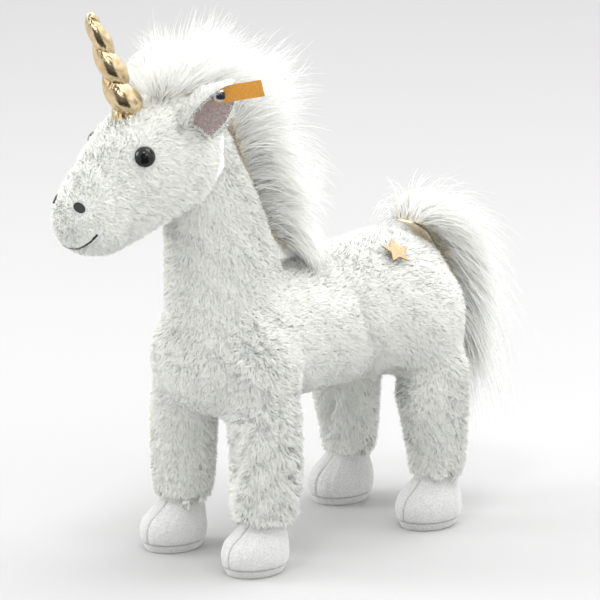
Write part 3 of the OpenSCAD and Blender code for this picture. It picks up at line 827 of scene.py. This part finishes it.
for name, (x, hoof_y, leg_y) in LEGS.items():
    hoof = cover_skin(name + "_hoof_suede", [name + "_hoof_cover", name + "_hoof_stuffing",
                                             name + "_hoof_sole"], 0.0008, 16, -0.0003)
    co, nn = vertices(hoof), normals(hoof)
    own = co / MM - np.array([x, hoof_y, 0])
    toe = np.exp(-(own[:, 0] / 0.55) ** 2) * (own[:, 1] < 0) * (own[:, 2] > 5.0) * (own[:, 2] < 29)
    foot = np.exp(-((own[:, 2] - 5.2) / 0.55) ** 2)
    sewn = np.maximum(toe, foot)
    near = np.exp(-(own[:, 0] / 2.4) ** 2) * (own[:, 1] < 0) * (own[:, 2] > 5)
    co = co - nn * (0.0004 * sewn + 0.0003 * near)[:, None]
    co = co + nn * (0.00025 * wavy(co, 0.012, 3))[:, None] * np.clip((own[:, 2:3] - 3) / 4, 0, 1)
    set_vertices(hoof, co)
    # The "seam" attribute carries the painted shade of the seam grooves.
    groove_shade_attr = hoof.data.attributes.new("seam", "FLOAT", "POINT")
    groove_shade_attr.data.foreach_set("value", np.clip(sewn * 0.9, 0, 1).astype(np.float32))
    sole = put(name + "_sole_suede", cut_below(hoof, SOLE_TOP, False))
    bm = cut_below(hoof, SOLE_TOP, True)
    bm.to_mesh(hoof.data)
    bm.free()
    for o in (hoof, sole):
        for poly in o.data.polygons:
            poly.use_smooth = True
        o.data.materials.append(suede)
        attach(o, name + "_leg")
    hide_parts(name + "_hoof_sole")
    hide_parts(name + "_hoof_cover")


# ---------------------------------------------------------------- ears
# Each ear is a folded leaf of plush, lined inside with taupe velour. Its front edge rolls in
# over the lining, and the pile of its back fluffs over the rim.
velour = new_material("velour", (0.26, 0.21, 0.20), 0.95, 0.6)
tone(velour, (0.20, 0.155, 0.145), (0.33, 0.27, 0.255), 700)
EAR_AT = np.array([29.5, -17.0, 23.0])
EAR_WAY = np.array(Matrix.Rotation(math.radians(52), 3, "Z")
                   @ Matrix.Rotation(math.radians(35), 3, "Y") @ Matrix.Rotation(math.radians(10), 3, "X"))
EAR_TALL = 37.0


def ear_leaf(name, side, front, rear, lift, thick, shrink):
    """A sheet of the ear between two shares of its width, lifted off its middle surface."""
    bm = bmesh.new()
    bmesh.ops.create_grid(bm, x_segments=36, y_segments=30, size=0.5)
    o = put(name, bm)
    g = vertices(o)
    u, v = front + (rear - front) * (g[:, 0] + 0.5), (g[:, 1] + 0.5)
    v = shrink + (1 - 2 * shrink) * v
    wide = 12.5 * np.sin(np.pi * np.clip(0.20 + 0.80 * v, 0, 1)) ** 0.62 + 0.4
    rim = 0.40 * wide
    bend = np.clip((-u - 0.40) / 0.60, 0, 1) * math.radians(165)
    flat = np.clip(-u, 0, 0.40) / 0.40 * (wide - rim)
    x = np.where(u < 0, -flat - rim * np.sin(bend), wide * 0.80 * u)
    y = np.where(u < 0, -rim * (1 - np.cos(bend)), 0.6 * u ** 2)
    nx = np.where(u < 0, np.sin(bend), -0.08 * u)
    ny = np.where(u < 0, -np.cos(bend), -1.0)
    size = np.sqrt(nx ** 2 + ny ** 2)
    x, y = x + lift * nx / size, y + lift * ny / size
    z = -2.0 + (EAR_TALL + 1.5) * v - 2.5 * u ** 2 * v
    p = np.stack([x, y, z], 1) @ EAR_WAY.T + EAR_AT
    p[:, 0] *= side
    set_vertices(o, to_row(p))
    bm = bmesh.new()
    bm.from_mesh(o.data)
    bmesh.ops.solidify(bm, geom=bm.faces[:], thickness=thick * MM)
    bmesh.ops.recalc_face_normals(bm, faces=bm.faces[:])
    bm.to_mesh(o.data)
    bm.free()
    for poly in o.data.polygons:
        poly.use_smooth = True
    return o


for label, side in (("left", 1), ("right", -1)):
    back = ear_leaf(label + "_ear_plush", side, -1.0, 1.0, 0.0, 1.0, 0.0)
    back.data.materials.append(skin_white)
    lining = ear_leaf(label + "_ear_velour", side, -0.86, 0.88, 1.15, 0.3, 0.05)
    lining.data.materials.append(velour)
    pts, nrm = scatter(back, DENSE * 1.3, rng)
    tree = BVHTree.FromPolygons([v.co for v in lining.data.vertices],
                                [f.vertices[:] for f in lining.data.polygons])
    free = np.array([tree.ray_cast(Vector(p), Vector(n), 0.004)[0] is None
                     for p, n in zip(pts, nrm)])
    if side > 0:
        free &= clear_of(pts, "ribbon_label", 0.0035) & clear_of(pts, "ear_rivet", 0.003)
    pts, nrm = pts[free], nrm[free]
    fur = put(label + "_ear_pile", pile(label + "_ear_pile", pts, nrm,
                                        np.tile([0.0, 0.3, 1.0], (len(pts), 1)),
                                        np.full(len(pts), 0.0040), wide * 0.85,
                                        np.full(len(pts), 0.1), seed=61))
    fur.data.materials.append(plush)
    for o in (back, lining, fur):
        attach(o, label + "_ear")
    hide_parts(label + "_ear_back")
    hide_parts(label + "_ear_lining")


# ---------------------------------------------------------------- eyes, thread, rivet and label
# Safety eyes of glossy black plastic, satin stitches for nostrils and mouth, a polished steel
# rivet through a plain woven amber ribbon, and a die-cut star of glitter film.
mouth_bm = bmesh.new()
steps_n = 90
line = to_row([on_keys(SMILE, k / steps_n) for k in range(steps_n + 1)])
tree = BVHTree.FromPolygons([v.co for v in head.data.vertices], [f.vertices[:] for f in head.data.polygons])
rings = []
for k in range(steps_n + 1):
    spot, out, _, _ = tree.find_nearest(Vector(line[k]))
    along = Vector(line[min(k + 1, steps_n)] - line[max(k - 1, 0)]).normalized()
    corner = abs(2 * k / steps_n - 1)
    thick = (0.30 + 0.55 * corner ** 1.5) * (1 - 0.3 * abs(math.sin(k * math.pi / 5)) ** 6) * MM
    turn = Matrix((out.cross(along).normalized(), out.normalized(), along)).transposed().to_4x4()
    ring = bmesh.ops.create_circle(mouth_bm, segments=8, radius=thick,
                                   matrix=Matrix.Translation(spot + out * 0.0021) @ turn)["verts"]
    rings.append([e for e in mouth_bm.edges if e.verts[0] in ring and e.verts[1] in ring])
for one, two in zip(rings[:-1], rings[1:]):
    bmesh.ops.bridge_loops(mouth_bm, edges=one + two)
for end in (rings[0], rings[-1]):
    bmesh.ops.contextual_create(mouth_bm, geom=end)
bmesh.ops.recalc_face_normals(mouth_bm, faces=mouth_bm.faces[:])
mouth = put("mouth_thread", mouth_bm)
for poly in mouth.data.polygons:
    poly.use_smooth = True
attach(mouth, "head")
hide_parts("mouth_stitching")
gloss = new_material("eye_black", (0.006, 0.006, 0.007), 0.05)
gloss.node_tree.nodes["Principled BSDF"].inputs["Specular IOR Level"].default_value = 0.35
thread = new_material("black_thread", (0.006, 0.006, 0.007), 0.6, 0.05)
chrome = new_material("rivet_steel", (0.50, 0.50, 0.52), 0.16, 0.0, 1.0)
ribbon = new_material("ribbon", (0.50, 0.235, 0.016), 0.7, 0.2)
tone(ribbon, (0.42, 0.18, 0.010), (0.54, 0.25, 0.023), 900)
mouth.data.materials.append(thread)
glitter = new_material("glitter", (0.62, 0.45, 0.2), 0.35, 0.0, 0.55)
tone(glitter, (0.05, 0.03, 0.015), (0.62, 0.45, 0.25), 1900)
for n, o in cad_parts.items():
    finish = {"eye": gloss, "nostril": thread, "rivet": chrome, "label": ribbon, "washer": thread,
              "star": glitter, "stuffing": filling, "plug": filling}
    for key, m in finish.items():
        if key in n:
            o.data.materials.clear()
            o.data.materials.append(m)
            break

# ---------------------------------------------------------------- floor, light and camera
# A plain pale floor, soft lights from both sides, from low in front and from above, and the
# camera.
bpy.ops.mesh.primitive_plane_add(size=30, location=(0, 0, 0))
floor = bpy.context.object
floor.name = "floor"
floor.data.materials.append(new_material("floor_white", (0.45, 0.45, 0.45), 0.9))
world = bpy.data.worlds.new("studio")
scene.world = world
world.use_nodes = True
wt = world.node_tree
way = wt.nodes.new("ShaderNodeTexCoord")
toward = wt.nodes.new("ShaderNodeVectorMath")
toward.operation = "DOT_PRODUCT"
toward.inputs[1].default_value = (0.69, -0.68, 0.25)
dark = wt.nodes.new("ShaderNodeMapRange")
dark.inputs["From Min"].default_value = 0.70
dark.inputs["From Max"].default_value = 0.82
dark.inputs["To Min"].default_value = 1.0
dark.inputs["To Max"].default_value = 0.03
wt.links.new(way.outputs["Generated"], toward.inputs[0])
wt.links.new(toward.outputs["Value"], dark.inputs["Value"])
wt.links.new(dark.outputs["Result"], wt.nodes["Background"].inputs["Color"])
wt.nodes["Background"].inputs["Strength"].default_value = 1.4


def soft_light(name, place, size, power):
    lamp = bpy.data.lights.new(name, "AREA")
    lamp.shape = "DISK"
    lamp.size = size
    lamp.energy = power
    o = bpy.data.objects.new(name, lamp)
    scene.collection.objects.link(o)
    o.location = place
    o.rotation_mode = "QUATERNION"
    o.rotation_quaternion = (Vector((0, 0, 0.15)) - Vector(place)).to_track_quat("-Z", "Y")


soft_light("key", (1.5, -0.5, 1.5), 1.2, 9)
soft_light("left", (-1.3, -1.1, 1.0), 1.0, 16)
soft_light("low", (1.3, -1.2, 0.25), 1.1, 16)
soft_light("top", (0.3, 0.9, 1.8), 1.6, 22)
soft_light("catch", (0.50, -0.73, 1.88), 0.30, 7)

az, el, far = math.radians(46), math.radians(14.6), 3.5
back = Vector((math.sin(az) * math.cos(el), -math.cos(az) * math.cos(el), math.sin(el)))
right = Vector((math.cos(az), math.sin(az), 0))
up = back.cross(right)
cam = bpy.data.objects.new("camera", bpy.data.cameras.new("camera"))
scene.collection.objects.link(cam)
cam.data.sensor_width = 36
cam.data.lens = 36 * far / 0.353
cam.location = Vector((0, 0, 0.16)) + back * far + right * 0.0052 - up * 0.0138
cam.rotation_mode = "QUATERNION"
cam.rotation_quaternion = back.to_track_quat("Z", "Y")
scene.camera = cam
scene.view_settings.view_transform = "Standard"

# A black flag in front of the head that only reflections see. It gives the foil, the eyes and
# the rivet their dark streaks.
front = Vector((math.sin(az), -math.cos(az), -0.50)).normalized()
flag_bm = bmesh.new()
bmesh.ops.create_grid(flag_bm, x_segments=1, y_segments=1, size=0.15,
                      matrix=Matrix.Translation(Vector((0, -0.08, 0.31)) + front * 0.27)
                      @ front.to_track_quat("Z", "Y").to_matrix().to_4x4())
flag = put("flag", flag_bm)
flag.data.materials.append(new_material("flag_black", (0.01, 0.01, 0.01), 1.0))
flag.visible_camera = False
flag.visible_diffuse = False
flag.visible_shadow = False
